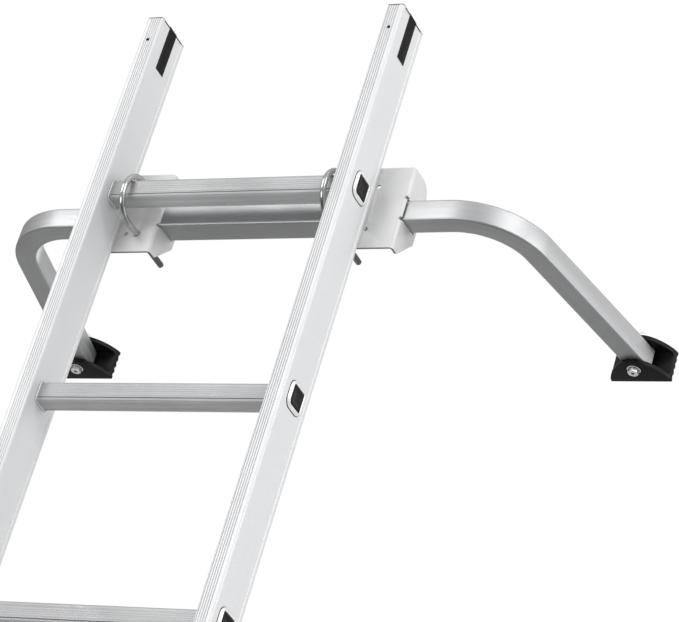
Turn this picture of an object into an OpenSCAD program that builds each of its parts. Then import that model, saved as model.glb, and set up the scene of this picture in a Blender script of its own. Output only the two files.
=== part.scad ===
// Two-section aluminium extension ladder with a clamped wall stand-off.
// X runs across the ladder, Y from the climbing side towards the wall, Z up the rails.
// Local sketches use y = 0 at the front of the upper (fly) rails and z = 0 on the floor.

/* [Sections] */
// Outside width of the fly section
fly_w = 376; // [360:1:400]
// Width of a rail across its front flange
rail_w = 23; // [22:0.5:25]
// Depth of a rail from front to back
rail_d = 65; // [64:0.5:68]
// Distance between rung centres
rung_pitch = 304.8; // [290:0.1:305]
// Number of rungs in each section
rung_count = 8; // [7:1:9]
// Rung spaces by which the fly is raised above the base
raised = 3; // [3:1:4]
// Height of the fly rails above their top rung
fly_top = 262; // [240:1:280]
// Rail length left past the last rung at the other ends
rail_tail = 60; // [56:1:70]

/* [Rungs] */
// Outside size of the square rung
rung_w = 27; // [26:0.5:28]
// Wall of the rung
rung_t = 1.8; // [1.4:0.1:2.2]
// Size of the flare that holds a rung in the rail
flare_w = 37; // [35:0.5:38]

/* [Stand-off] */
// Offset of the stand-off from the ladder's centre
stand_x = 10; // [0:1:14]
// Outside size of the square sliding arm
arm_w = 30; // [28:0.5:30]
// Outside size of the square centre tube
tube_w = 36; // [35.5:0.5:37]
// Half the distance between the arms where they meet the centre tube's line
arm_half = 355.3; // [340:0.1:370]
// Outward lean of the arms
arm_splay = 11.4; // [8:0.1:14]
// Centre-line radius of the arm's bend
bend_r = 92; // [85:1:100]
// Reach of the arm's end behind the ladder's front
arm_reach = 410; // [380:1:430]
// Height of a clamp bracket
bracket_h = 120; // [112:1:124]
// Width of a clamp bracket's plate
bracket_w = 105; // [104:1:108]

/* [Motion] */
// Angle by which a lock hook stands up when it is released
hook_open = 90; // [86:1:92]
// Height of the shoe pivot above the floor
shoe_pivot_z = 72; // [70:1:76]

/* [Hidden] */
$fn = 48;
SIDES = ["left", "right"];

// Rail section
rail_r = 2.6;
web_recess = 0.8;
web_t = 1.8;
flange_t = 2.6;
web_band = 7;
groove_pitch = 3.4;
groove_count = 5;
groove_w = 1.3;
groove_h = 0.6;
cap_slot_w = 20;
cap_plate_t = 1.2;
cap_band_t = 3;
cap_slot_h = 66;
base_slot_h = 38;
cap_plug_share = 0.75;
cap_hole_r = 2.5;
cap_hole_z = 35;

// Where the two sections stand
section_gap = 2;
base_w = fly_w + 2 * (rail_w + section_gap);
base_y = rail_d + section_gap;
base_bottom = 45;
base_top = rung_count * rung_pitch + rail_tail;
fly_first = (raised + 1) * rung_pitch;
fly_bottom = fly_first - rail_tail;
top_rung_z = fly_first + (rung_count - 1) * rung_pitch;
fly_rail_top = top_rung_z + fly_top;
rung_y = rail_d / 2;
fly_face = fly_w / 2;
base_face = base_w / 2;

// Rung ends
flare_t = 1.2;
lip_w = 31;
lip_h = 3;
collar_h = 2;
collar_w = 30;
collar_r = 5;
flare_r = 11;
plug_l = 12;

// Sheet-metal guides, plain rivets
sheet = 3;
rivet_r = 2.4;
rivet_head_r = 4.6;
rivet_head_h = 1.8;
base_guide_z = base_top - 38;
base_guide_h = 35;
base_guide_wrap = 40;
fly_guide_z = fly_bottom + 3;
fly_guide_h = 34;
guide_gap = 1;
slide_gap = 0.6;
block_rivet_y = [14, 50];
rail_rivet_y = [base_y + 14, base_y + 48];
fly_rivet_y = [22, 46];
web_grip = web_recess + web_t;

// Rung locks
lock_z = fly_first + 34;
lock_y = 44;
lock_in = fly_face - rail_w;
lock_web = lock_in + web_recess;
lock_depth = 18;
lock_rivet_y = 22;
lock_rivet_z = [lock_z + 22, lock_z + 42];
lock_pin_r = 4;
hook_t = 7;
hook_gap = 0.5;
hook_lip = 8;
hook_x = lock_web - sheet - 2 - hook_t;

// Shoes
shoe_y = base_y + rung_y;
shoe_l = 104;
shoe_pad_h = 8;
shoe_bolt_r = 5;
cheek_gap = 0.4;
cheek_r = 16;

// Stand-off
clamp_z = top_rung_z - 6;
u_pitch = 64;
u_rod_r = 4;
u_center_y = 40.5;
u_end_y = 138;
right_bend = 235;
left_bend = -110;
right_u_x = 150;
left_u_x = -138;
spare_inset = 44;
flange_d = 45;
tube_y = rail_d + sheet + tube_w / 2;
tube_half = 222;
tube_t = 2.5;
arm_t = 1.5;
arm_inset = 90;
arm_bolt_x = 185;
bend_turn = 90 - arm_splay;
bend_tangent = bend_r * tan(bend_turn / 2);
arm_end_x = arm_half + (arm_reach - tube_y) * tan(arm_splay);
pad_bolt_in = 14;
pad_bolt_y = arm_reach - pad_bolt_in * cos(arm_splay);
pad_bolt_r = 4;
pad_gap = 0.6;
pad_ear_t = 6;
pad_half_w = 41.5;
pad_crown_y = -14.2;
pad_web_y = 21.5;
pad_face_y = 30;
washer_t = 1.6;
hole_gap = 0.1;

// Shift that puts the origin under the middle of the whole outline
mid_y = (pad_bolt_y + pad_face_y - guide_gap - sheet) / 2;

// ---------- shared shapes ----------

module rounded(w, h, r) {
    square([w - 2 * r, h], center = true);
    square([w, h - 2 * r], center = true);
    for (x = [-1, 1], y = [-1, 1])
        translate([x * (w / 2 - r), y * (h / 2 - r)]) circle(r);
}

module square_tube(w, t, length, r = 2.5) {
    linear_extrude(length) difference() {
        rounded(w, w, r);
        rounded(w - 2 * t, w - 2 * t, max(r - t, 0.5));
    }
}

module box(x, y, z) {
    translate([x[0], y[0], z[0]]) cube([x[1] - x[0], y[1] - y[0], z[1] - z[0]]);
}

// Moves a local sketch into the part's own frame
module place() {
    translate([0, -mid_y, 0]) children();
}

module on_side(side) {
    if (side == "right") children();
    else mirror([1, 0, 0]) children();
}

// Turns a profile drawn in (y, z) into a plate of thickness t that starts at x
module side_plate(x, t) {
    translate([x, 0, 0]) rotate([90, 0, 90]) linear_extrude(t) children();
}

module x_rod(x, y, z, r, length) {
    translate([x, y, z]) rotate([0, 90, 0]) cylinder(r = r, h = length);
}

module hex(across, h) {
    cylinder(r = across / sqrt(3), h = h, $fn = 6);
}

// Rivet whose head stands on the face x and whose shank runs back by length
module rivet(x, y, z, length) {
    x_rod(x, y, z, rivet_head_r, rivet_head_h);
    x_rod(x - length, y, z, rivet_r, length);
}

// ---------- rails, rungs and caps ----------

module rail_section() {
    difference() {
        rounded(rail_w, rail_d, rail_r);
        square([rail_w - 2 * (web_recess + web_t), rail_d - 2 * flange_t], center = true);
        for (s = [-1, 1]) {
            translate([s * rail_w / 2, 0])
                square([2 * web_recess, rail_d - 2 * web_band], center = true);
            for (i = [0:groove_count - 1])
                translate([(i - (groove_count - 1) / 2) * groove_pitch, s * rail_d / 2])
                    square([groove_w, 2 * groove_h], center = true);
        }
    }
}

// Rail on the right side: outer face at x = face, front at y = front
module rail(face, front, bottom, top, first_rung, slot_h) {
    difference() {
        translate([face - rail_w / 2, front + rail_d / 2, bottom])
            linear_extrude(top - bottom) rail_section();
        for (i = [0:rung_count - 1])
            translate([face - rail_w - 1, front + rung_y, first_rung + i * rung_pitch])
                rotate([0, 90, 0]) linear_extrude(rail_w + 2) rounded(rung_w, rung_w, 3);
        box([face - rail_w - 1, face + 1],
            [front + rung_y - cap_slot_w / 2, front + rung_y + cap_slot_w / 2],
            [top - slot_h, top + 1]);
        translate([face - rail_w / 2, front - 1, top - cap_hole_z])
            rotate([-90, 0, 0]) cylinder(r = cap_hole_r, h = flange_t + 2);
    }
}

module rung_flare(x) {
    translate([x, 0, 0]) rotate([0, 90, 0]) linear_extrude(flare_t) rounded(flare_w, flare_w, flare_r);
    translate([x, 0, 0]) rotate([0, 90, 0]) linear_extrude(lip_h) rounded(lip_w, lip_w, 4.5);
}

module rung(face, front, z) {
    web = face - web_recess;
    inner_web = face - rail_w + web_recess;
    translate([0, front + rung_y, z]) difference() {
        union() {
            translate([-web - lip_h, 0, 0]) rotate([0, 90, 0])
                linear_extrude(2 * (web + lip_h)) rounded(rung_w, rung_w, 3);
            for (s = SIDES) on_side(s) {
                rung_flare(web);
                translate([inner_web - collar_h, 0, 0]) rotate([0, 90, 0])
                    linear_extrude(collar_h) rounded(collar_w, collar_w, collar_r);
            }
        }
        translate([-base_w, 0, 0]) rotate([0, 90, 0])
            linear_extrude(2 * base_w) rounded(rung_w - 2 * rung_t, rung_w - 2 * rung_t, 1.2);
    }
}

module rung_plugs(face, front, first_rung) {
    plug_w = rung_w - 2 * rung_t - 2 * hole_gap;
    for (s = SIDES, i = [0:rung_count - 1])
        on_side(s) translate([face - web_recess + lip_h - 0.8, front + rung_y, first_rung + i * rung_pitch])
            rotate([0, -90, 0]) linear_extrude(plug_l) rounded(plug_w, plug_w, 1.2);
}

// Plastic cap with a plug in the rail and a tongue in each web's slot
module rail_cap(face, front, top, slot_h) {
    hollow_w = rail_w - 2 * (web_recess + web_t) - 2 * hole_gap;
    hollow_d = rail_d - 2 * flange_t - 2 * hole_gap;
    tongue_w = cap_slot_w - 2 * hole_gap;
    translate([face - rail_w / 2, front + rail_d / 2, top]) {
        linear_extrude(cap_plate_t) rounded(rail_w, rail_d, rail_r);
        linear_extrude(cap_band_t) square([rail_w - 2 * web_recess + 0.6, tongue_w], center = true);
        translate([0, 0, -cap_plug_share * slot_h / 2])
            linear_extrude(cap_plug_share * slot_h, center = true)
                square([hollow_w, hollow_d], center = true);
        translate([0, 0, -slot_h / 2 + hole_gap])
            cube([rail_w - 2 * web_recess + 0.6, tongue_w, slot_h], center = true);
    }
}

module fly_rail(side) {
    color("gainsboro") place() on_side(side) difference() {
        rail(fly_face, 0, fly_bottom, fly_rail_top, fly_first, cap_slot_h);
        for (y = fly_rivet_y)
            x_rod(fly_face - rail_w / 2, y, fly_guide_z + fly_guide_h / 2, rivet_r + hole_gap, rail_w);
        for (z = lock_rivet_z)
            x_rod(lock_in - 1, lock_rivet_y, z, rivet_r + hole_gap, rail_w / 2);
    }
}

module fly_rung(i) {
    color("silver") place() rung(fly_face, 0, fly_first + (i - 1) * rung_pitch);
}

module fly_rung_plugs() {
    color("black") place() rung_plugs(fly_face, 0, fly_first);
}

module fly_cap(side) {
    color("black") place() on_side(side) rail_cap(fly_face, 0, fly_rail_top, cap_slot_h);
}

module base_rail(side) {
    color("gainsboro") place() on_side(side) difference() {
        rail(base_face, base_y, base_bottom, base_top, rung_pitch, base_slot_h);
        x_rod(base_face - rail_w - 1, shoe_y, shoe_pivot_z, shoe_bolt_r + hole_gap, rail_w + 2);
        for (y = rail_rivet_y)
            x_rod(base_face - rail_w / 2, y, base_guide_z + base_guide_h / 2, rivet_r + hole_gap, rail_w);
    }
}

module base_rung(i) {
    color("silver") place() rung(base_face, base_y, i * rung_pitch);
}

module base_rung_plugs() {
    color("black") place() rung_plugs(base_face, base_y, rung_pitch);
}

module base_cap(side) {
    color("black") place() on_side(side) rail_cap(base_face, base_y, base_top, base_slot_h);
}

// ---------- guides between the sections ----------

module base_guide(side) {
    z = [base_guide_z, base_guide_z + base_guide_h];
    color("lightsteelblue") place() on_side(side) difference() {
        union() {
            box([base_face, base_face + sheet], [-guide_gap - sheet, base_y + 58], z);
            box([base_face + sheet - base_guide_wrap, base_face + sheet],
                [-guide_gap - sheet, -guide_gap], z);
        }
        for (y = concat(block_rivet_y, rail_rivet_y))
            x_rod(base_face - 1, y, z[0] + base_guide_h / 2, rivet_r + hole_gap, sheet + 2);
    }
}

// Nylon blocks that centre the fly rail: they bear on its edges and clear the rung flares
module guide_blocks() {
    color("dimgray") place() for (s = SIDES) on_side(s) difference() {
        box([fly_face + slide_gap, base_face], [guide_gap, rail_d - guide_gap],
            [base_guide_z, base_guide_z + base_guide_h]);
        box([fly_face, fly_face + lip_h + 2], [rung_y - 22, rung_y + 22], [base_guide_z - 1, base_top]);
        for (y = block_rivet_y)
            x_rod(base_face - 12, y, base_guide_z + base_guide_h / 2, rivet_r + hole_gap, 13);
    }
}

module base_rivets() {
    z = base_guide_z + base_guide_h / 2;
    color("silver") place() for (s = SIDES) on_side(s) {
        for (y = block_rivet_y) rivet(base_face + sheet, y, z, 12);
        for (y = rail_rivet_y) rivet(base_face + sheet, y, z, sheet + web_grip);
    }
}

module fly_guide(side) {
    z = [fly_guide_z, fly_guide_z + fly_guide_h];
    out = base_face + 5;
    front = base_y - 3 - sheet;
    back = base_y + rail_d + 3;
    color("lightsteelblue") place() on_side(side) difference() {
        union() {
            box([fly_face, fly_face + sheet], [12, front + sheet], z);
            box([fly_face, out + sheet], [front, front + sheet], z);
            box([out, out + sheet], [front, back + sheet], z);
            box([out - 16, out + sheet], [back, back + sheet], z);
        }
        for (y = fly_rivet_y) x_rod(fly_face - 1, y, z[0] + fly_guide_h / 2, rivet_r + hole_gap, sheet + 2);
    }
}

// Rivets of the fly's guides and of its lock brackets
module fly_rivets() {
    color("silver") place() for (s = SIDES) on_side(s) {
        for (y = fly_rivet_y)
            rivet(fly_face + sheet, y, fly_guide_z + fly_guide_h / 2, sheet + web_grip);
        for (z = lock_rivet_z)
            mirror([1, 0, 0]) rivet(sheet - lock_web, lock_rivet_y, z, sheet + web_t);
    }
}

// ---------- rung locks ----------

// Bracket in the recess of the rail's inner face, with a front wall and an ear for the pin
module lock_bracket(side) {
    ear = lock_web - lock_depth;
    z = [lock_z - 10, lock_z + 54];
    color("lightsteelblue") place() on_side(side) difference() {
        union() {
            box([lock_web - sheet, lock_web], [8, 57], z);
            box([ear, lock_web], [8, 8 + sheet], z);
            side_plate(ear, sheet)
                polygon([[8, z[0]], [54, z[0]], [54, lock_z + 12], [24, z[1]], [8, z[1]]]);
        }
        x_rod(ear - 1, lock_y, lock_z, lock_pin_r + 0.05, lock_depth + 2);
        for (h = lock_rivet_z) x_rod(lock_web - sheet - 1, lock_rivet_y, h, rivet_r + hole_gap, sheet + 2);
    }
}

// Hook drawn as it grips a base rung, then stood up about its pin
module lock_hook(side) {
    grip_y = base_y + rung_y;
    seat = fly_first + rung_w / 2 + hook_gap - lock_z;
    near = grip_y - rung_w / 2 - hook_gap - lock_y;
    far = grip_y + rung_w / 2 + 1 - lock_y;
    tip = far + hook_lip;
    color("slategray") place() on_side(side)
        translate([0, lock_y, lock_z]) rotate([hook_open, 0, 0]) difference() {
            union() {
                side_plate(hook_x, hook_t) circle(10);
                side_plate(hook_x, hook_t)
                    polygon([[0, 9], [near, 6], [far, 2], [tip, -6], [tip, -33], [far + 2, -34],
                        [far, -30], [far, seat], [near, seat], [6, -7], [0, -6]]);
            }
            x_rod(hook_x - 1, 0, 0, lock_pin_r + 0.05, hook_t + 2);
        }
}

// Headed pins through the ear, the hook and the bracket's back
module lock_pins() {
    ear = lock_web - lock_depth;
    color("silver") place() for (s = SIDES) on_side(s) {
        x_rod(ear - 3, lock_y, lock_z, lock_pin_r, lock_depth + 3);
        x_rod(ear - 3, lock_y, lock_z, lock_pin_r + 2.5, 3);
    }
}

// ---------- shoes ----------

module cheek() {
    difference() {
        union() {
            translate([shoe_y, shoe_pivot_z]) circle(cheek_r);
            polygon([[shoe_y - cheek_r, shoe_pivot_z], [shoe_y + cheek_r, shoe_pivot_z],
                [shoe_y + 34, shoe_pad_h + sheet], [shoe_y + 34, shoe_pad_h],
                [shoe_y - 34, shoe_pad_h], [shoe_y - 34, shoe_pad_h + sheet]]);
        }
        translate([shoe_y, shoe_pivot_z]) circle(shoe_bolt_r + 0.05);
    }
}

module shoe(side) {
    inner = base_face - rail_w - cheek_gap - sheet;
    outer = base_face + cheek_gap;
    color("silver") place() on_side(side) {
        side_plate(inner, sheet) cheek();
        side_plate(outer, sheet) cheek();
        translate([(inner + outer + sheet) / 2, shoe_y, shoe_pad_h])
            linear_extrude(sheet) rounded(outer + sheet - inner, shoe_l, 6);
    }
}

module shoe_pad(side) {
    width = rail_w + 2 * (cheek_gap + sheet) + 4;
    color("black") place() on_side(side)
        translate([base_face - rail_w / 2, shoe_y, 0]) difference() {
            linear_extrude(shoe_pad_h) rounded(width, shoe_l + 6, 8);
            for (i = [-3.5:3.5]) translate([0, i * 14, 0]) cube([width + 2, 4, 3], center = true);
        }
}

module shoe_bolts() {
    inner = base_face - rail_w - cheek_gap - sheet;
    color("silver") place() for (s = SIDES) on_side(s) {
        x_rod(inner - 8, shoe_y, shoe_pivot_z, shoe_bolt_r, base_face + cheek_gap + sheet - inner + 8.5);
        translate([base_face + cheek_gap + sheet + 0.5, shoe_y, shoe_pivot_z])
            rotate([0, 90, 0]) hex(16, 6.5);
    }
}

module shoe_nuts() {
    inner = base_face - rail_w - cheek_gap - sheet;
    color("silver") place() for (s = SIDES) on_side(s)
        translate([inner - 0.5, shoe_y, shoe_pivot_z]) rotate([0, -90, 0]) difference() {
            hex(16, 6.5);
            translate([0, 0, -1]) cylinder(r = shoe_bolt_r, h = 9);
        }
}

// ---------- stand-off ----------

module stabilizer_tube() {
    color("silver") place() difference() {
        translate([stand_x - tube_half, tube_y, clamp_z]) rotate([0, 90, 0])
            square_tube(tube_w, tube_t, 2 * tube_half);
        for (s = [-1, 1]) translate([stand_x + s * arm_bolt_x, tube_y, clamp_z - tube_w])
            cylinder(r = 3 + hole_gap, h = 2 * tube_w);
    }
}

// Plan outline of a bar w wide on the right arm's centre line, run past both ends by extra
module arm_plan(w, extra) {
    start = tube_half - arm_inset;
    tangent_x = arm_half - bend_tangent;
    run = (arm_reach - tube_y - bend_tangent * cos(arm_splay)) / cos(arm_splay);
    far = 2 * bend_r;
    translate([start - extra, tube_y - w / 2]) square([tangent_x - start + extra, w]);
    translate([tangent_x, tube_y + bend_r]) intersection() {
        difference() {
            circle(r = bend_r + w / 2, $fn = 192);
            circle(r = bend_r - w / 2, $fn = 192);
        }
        polygon([[0, 0], [0, -far], [far, -far], [far * sin(bend_turn), -far * cos(bend_turn)]]);
    }
    translate([arm_end_x, arm_reach]) rotate(-arm_splay) translate([-w / 2, -run]) square([w, run + extra]);
}

// Arm on the right of the stand-off's own centre plane
module bent_arm() {
    hollow = arm_w - 2 * arm_t;
    difference() {
        linear_extrude(arm_w, center = true) arm_plan(arm_w, 0);
        linear_extrude(hollow, center = true) arm_plan(hollow, 1);
        translate([arm_bolt_x, tube_y, -arm_w]) cylinder(r = 3 + hole_gap, h = 2 * arm_w);
        pad_axis() translate([0, 0, -arm_w]) cylinder(r = pad_bolt_r + hole_gap, h = 2 * arm_w);
    }
}

// Upright axis of the pad's bolt, with the part's own directions
module pad_axis() {
    translate([arm_end_x - pad_bolt_in * sin(arm_splay), pad_bolt_y, 0]) children();
}

// Puts right-hand stand-off geometry on either side of its own centre plane
module stand_side(side) {
    translate([stand_x, 0, clamp_z]) on_side(side) children();
}

module stabilizer_arm(side) {
    color("silver") place() stand_side(side) bent_arm();
}

// Flange outline in (y, z) about the clamp's centre
module flange_shape(cut) {
    half = bracket_h / 2;
    back = rail_d + flange_d;
    difference() {
        union() {
            polygon([[rail_d, half], [back - 20, half], [back, half - 20], [back, -24],
                [rail_d + 20, 3 - half], [rail_d + 12, -half], [rail_d, -half]]);
            translate([back - 20, half - 20]) circle(20);
        }
        translate([rail_d + sheet, -cut / 2]) square([tube_w + 0.4, cut]);
    }
}

// Bracket whose bend is at x = bend, with its U-bolt at u_x and a spare pair of holes
module clamp_bracket(bend, u_x, cut) {
    color("lightsteelblue") place() translate([0, 0, clamp_z]) difference() {
        union() {
            box([bend - bracket_w, bend], [rail_d, rail_d + sheet], [-bracket_h / 2, bracket_h / 2]);
            side_plate(bend - sheet, sheet) flange_shape(cut);
        }
        for (z = [-1, 1]) {
            y_hole(u_x, z * u_pitch / 2, u_rod_r + 0.4);
            y_hole(bend - spare_inset, z * u_pitch / 2, 3);
            y_hole(bend - 1, z * cut / 2, 2);
        }
    }
}

module y_hole(x, z, r) {
    translate([x, rail_d - 1, z]) rotate([-90, 0, 0]) cylinder(r = r, h = sheet + 2);
}

module u_bolt(x) {
    r = u_pitch / 2;
    color("silver") place() translate([x, u_center_y, clamp_z]) {
        for (z = [-r, r]) translate([0, 0, z]) rotate([-90, 0, 0])
            cylinder(r = u_rod_r, h = u_end_y - u_center_y);
        rotate([0, 90, 0]) rotate([0, 0, 180]) rotate_extrude(angle = 180)
            translate([r, 0]) circle(u_rod_r);
    }
}

module at_u_legs() {
    for (x = [left_u_x, right_u_x], z = [-1, 1])
        translate([x, rail_d + sheet, clamp_z + z * u_pitch / 2]) rotate([-90, 0, 0]) children();
}

module u_bolt_washers() {
    color("silver") place() at_u_legs() difference() {
        cylinder(r = 8.5, h = washer_t);
        translate([0, 0, -1]) cylinder(r = u_rod_r + hole_gap, h = 4);
    }
}

module u_bolt_nuts() {
    color("silver") place() at_u_legs() translate([0, 0, washer_t]) difference() {
        hex(13, 6.5);
        translate([0, 0, -1]) cylinder(r = u_rod_r, h = 9);
    }
}

module arm_bolts() {
    color("silver") place() for (s = [-1, 1])
        translate([stand_x + s * arm_bolt_x, tube_y, clamp_z]) {
            translate([0, 0, -tube_w / 2 - 8]) cylinder(r = 3, h = tube_w + 8);
            translate([0, 0, tube_w / 2]) hex(10, 4);
        }
}

module arm_nuts() {
    color("silver") place() for (s = [-1, 1])
        translate([stand_x + s * arm_bolt_x, tube_y, clamp_z - tube_w / 2 - 5]) difference() {
            hex(10, 5);
            translate([0, 0, -1]) cylinder(r = 3, h = 7);
        }
}

// ---------- wall pads ----------

// Half of the pad outline about its bolt: an arched top over a flat wall face
PAD_EDGE = [[8, -13.2], [16, -9.6], [23, -4.2], [28.5, 1.6], [33, 7.8], [37, 14.5], [39.8, 21],
    [pad_half_w, 27], [pad_half_w, pad_face_y]];

module pad_outline() {
    far_edge = [for (i = [len(PAD_EDGE) - 1:-1:0]) [-PAD_EDGE[i][0], PAD_EDGE[i][1]]];
    polygon(concat([[0, pad_crown_y]], PAD_EDGE, far_edge));
}

module wall_pad(side) {
    half = arm_w / 2 + pad_gap + pad_ear_t;
    rib = 2 * half / 9;
    color("black") place() stand_side(side) pad_axis() difference() {
        translate([0, 0, -half]) linear_extrude(2 * half) pad_outline();
        translate([-60, -60, -arm_w / 2 - pad_gap]) cube([120, 60 + pad_web_y, arm_w + 2 * pad_gap]);
        for (i = [-3:2:3]) translate([0, pad_face_y, i * rib]) cube([120, 4, rib], center = true);
        translate([0, 0, -half - 1]) cylinder(r = pad_bolt_r + 0.05, h = 2 * half + 2);
    }
}

// Flanged bolts from below
module pad_bolts() {
    half = arm_w / 2 + pad_gap + pad_ear_t;
    color("silver") place() for (s = SIDES) stand_side(s) pad_axis() {
        translate([0, 0, -half - 0.3]) cylinder(r = pad_bolt_r, h = 2 * half + 11);
        translate([0, 0, -half - 0.3 - washer_t]) cylinder(r = 9, h = washer_t);
        translate([0, 0, -half - 0.3 - washer_t - 5.3]) hex(13, 5.3);
    }
}

module pad_nuts() {
    half = arm_w / 2 + pad_gap + pad_ear_t;
    color("silver") place() for (s = SIDES) stand_side(s) pad_axis()
        translate([0, 0, half + 0.3]) difference() {
            hex(13, 6.5);
            translate([0, 0, -1]) cylinder(r = pad_bolt_r, h = 9);
        }
}

// ---------- nodes ----------

for (s = SIDES) {
    fly_rail(s);
    fly_cap(s);
    base_rail(s);
    base_cap(s);
    base_guide(s);
    fly_guide(s);
    lock_bracket(s);
    lock_hook(s);
    shoe(s);
    shoe_pad(s);
    stabilizer_arm(s);
    wall_pad(s);
}
for (i = [1:rung_count]) {
    fly_rung(i);
    base_rung(i);
}
clamp_bracket(left_bend, left_u_x, tube_w + 0.4);  // clamp_bracket_left
clamp_bracket(right_bend, right_u_x, arm_w + 1);  // clamp_bracket_right
u_bolt(left_u_x);  // u_bolt_left
u_bolt(right_u_x);  // u_bolt_right
fly_rung_plugs();
base_rung_plugs();
guide_blocks();
base_rivets();
fly_rivets();
lock_pins();
shoe_bolts();
shoe_nuts();
stabilizer_tube();
u_bolt_washers();
u_bolt_nuts();
pad_bolts();
pad_nuts();
arm_bolts();
arm_nuts();
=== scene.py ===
import math
import bmesh
import bpy
from mathutils import Matrix, Vector


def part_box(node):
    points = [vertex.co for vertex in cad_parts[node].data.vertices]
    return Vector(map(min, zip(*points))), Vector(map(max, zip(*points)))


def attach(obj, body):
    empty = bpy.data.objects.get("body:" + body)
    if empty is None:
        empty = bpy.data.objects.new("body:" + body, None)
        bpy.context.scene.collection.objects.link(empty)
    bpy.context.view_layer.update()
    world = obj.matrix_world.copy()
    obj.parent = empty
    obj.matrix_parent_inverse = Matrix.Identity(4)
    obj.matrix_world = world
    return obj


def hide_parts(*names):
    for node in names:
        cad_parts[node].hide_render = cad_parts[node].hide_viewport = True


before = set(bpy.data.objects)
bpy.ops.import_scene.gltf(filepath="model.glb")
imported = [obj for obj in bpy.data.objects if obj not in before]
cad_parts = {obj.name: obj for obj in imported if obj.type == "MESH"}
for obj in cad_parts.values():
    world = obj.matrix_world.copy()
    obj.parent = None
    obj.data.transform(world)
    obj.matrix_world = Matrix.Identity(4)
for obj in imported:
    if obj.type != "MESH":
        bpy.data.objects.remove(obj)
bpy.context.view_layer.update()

scene = bpy.context.scene
scene.view_settings.view_transform = "Standard"

# ---------------------------------------------------------------- places, in mm
# Sketch frame: x across, y = 0 at the fly rails' front, z = 0 on the floor.
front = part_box("fly_rail_right")[0].y * 1000
RAIL_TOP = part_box("fly_rail_right")[1].z * 1000
FLY_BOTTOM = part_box("fly_rail_right")[0].z * 1000
FLY_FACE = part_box("fly_rail_right")[1].x * 1000
BASE_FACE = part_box("base_rail_right")[1].x * 1000
BASE_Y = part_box("base_rail_right")[0].y * 1000 - front
BASE_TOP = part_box("base_rail_right")[1].z * 1000
BASE_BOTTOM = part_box("base_rail_right")[0].z * 1000
RAIL_W = 23.0
RAIL_D = 65.0
PITCH = 304.8
RUNG_Y = 32.5
TUBE_Y = RAIL_D + 3 + 18
CLAMP_Z = sum(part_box("stabilizer_tube")[i].z for i in (0, 1)) * 500
STAND_X = sum(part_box("stabilizer_tube")[i].x for i in (0, 1)) * 500
SIDES = (("left", -1), ("right", 1))


def M(p):
    return Vector((p[0] / 1000, (p[1] + front) / 1000, p[2] / 1000))


# ---------------------------------------------------------------- materials
class Mat:
    """A small wrapper for building a node material."""

    def __init__(self, name):
        self.m = bpy.data.materials.new(name)
        self.m.use_nodes = True
        self.t = self.m.node_tree
        self.t.nodes.clear()
        self.out = self.t.nodes.new("ShaderNodeOutputMaterial")
        self.b = self.t.nodes.new("ShaderNodeBsdfPrincipled")
        self.link(self.b.outputs[0], self.out.inputs[0])

    def link(self, a, b):
        self.t.links.new(a, b)

    def set(self, **kw):
        for k, v in kw.items():
            self.b.inputs[k.replace("_", " ")].default_value = v

    def coords(self, kind, scale, rot=(0, 0, 0)):
        tc = self.t.nodes.new("ShaderNodeTexCoord")
        mp = self.t.nodes.new("ShaderNodeMapping")
        mp.inputs["Scale"].default_value = scale
        mp.inputs["Rotation"].default_value = rot
        self.link(tc.outputs[kind], mp.inputs[0])
        return mp.outputs[0]

    def noise(self, vec, scale, detail=3.0, rough=0.5, dist=0.0):
        n = self.t.nodes.new("ShaderNodeTexNoise")
        n.inputs["Scale"].default_value = scale
        n.inputs["Detail"].default_value = detail
        n.inputs["Roughness"].default_value = rough
        n.inputs["Distortion"].default_value = dist
        self.link(vec, n.inputs["Vector"])
        return n.outputs["Fac"]

    def voronoi(self, vec, scale, feature="DISTANCE_TO_EDGE"):
        n = self.t.nodes.new("ShaderNodeTexVoronoi")
        n.feature = feature
        n.inputs["Scale"].default_value = scale
        self.link(vec, n.inputs["Vector"])
        return n.outputs["Distance"]

    def map(self, fac, lo, hi, a=0.0, b=1.0):
        r = self.t.nodes.new("ShaderNodeMapRange")
        for i, v in zip(("From Min", "From Max", "To Min", "To Max"), (lo, hi, a, b)):
            r.inputs[i].default_value = v
        self.link(fac, r.inputs[0])
        return r.outputs[0]

    def math(self, op, a, b):
        n = self.t.nodes.new("ShaderNodeMath")
        n.operation = op
        for i, v in enumerate((a, b)):
            if isinstance(v, (int, float)):
                n.inputs[i].default_value = v
            else:
                self.link(v, n.inputs[i])
        return n.outputs[0]

    def mix(self, fac, a, b):
        n = self.t.nodes.new("ShaderNodeMix")
        n.data_type = "RGBA"
        for i, v in ((0, fac), (6, a), (7, b)):
            if isinstance(v, (int, float)):
                n.inputs[i].default_value = v
            elif isinstance(v, tuple):
                n.inputs[i].default_value = (*v, 1)
            else:
                self.link(v, n.inputs[i])
        return n.outputs[2]

    def bump(self, height, strength, dist=0.001, normal=None):
        n = self.t.nodes.new("ShaderNodeBump")
        n.inputs["Strength"].default_value = strength
        n.inputs["Distance"].default_value = dist
        self.link(height, n.inputs["Height"])
        if normal is not None:
            self.link(normal, n.inputs["Normal"])
        return n.outputs[0]


def grey(v, tint=0.0):
    return (v * (1 - tint), v, v * (1 + tint))


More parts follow.
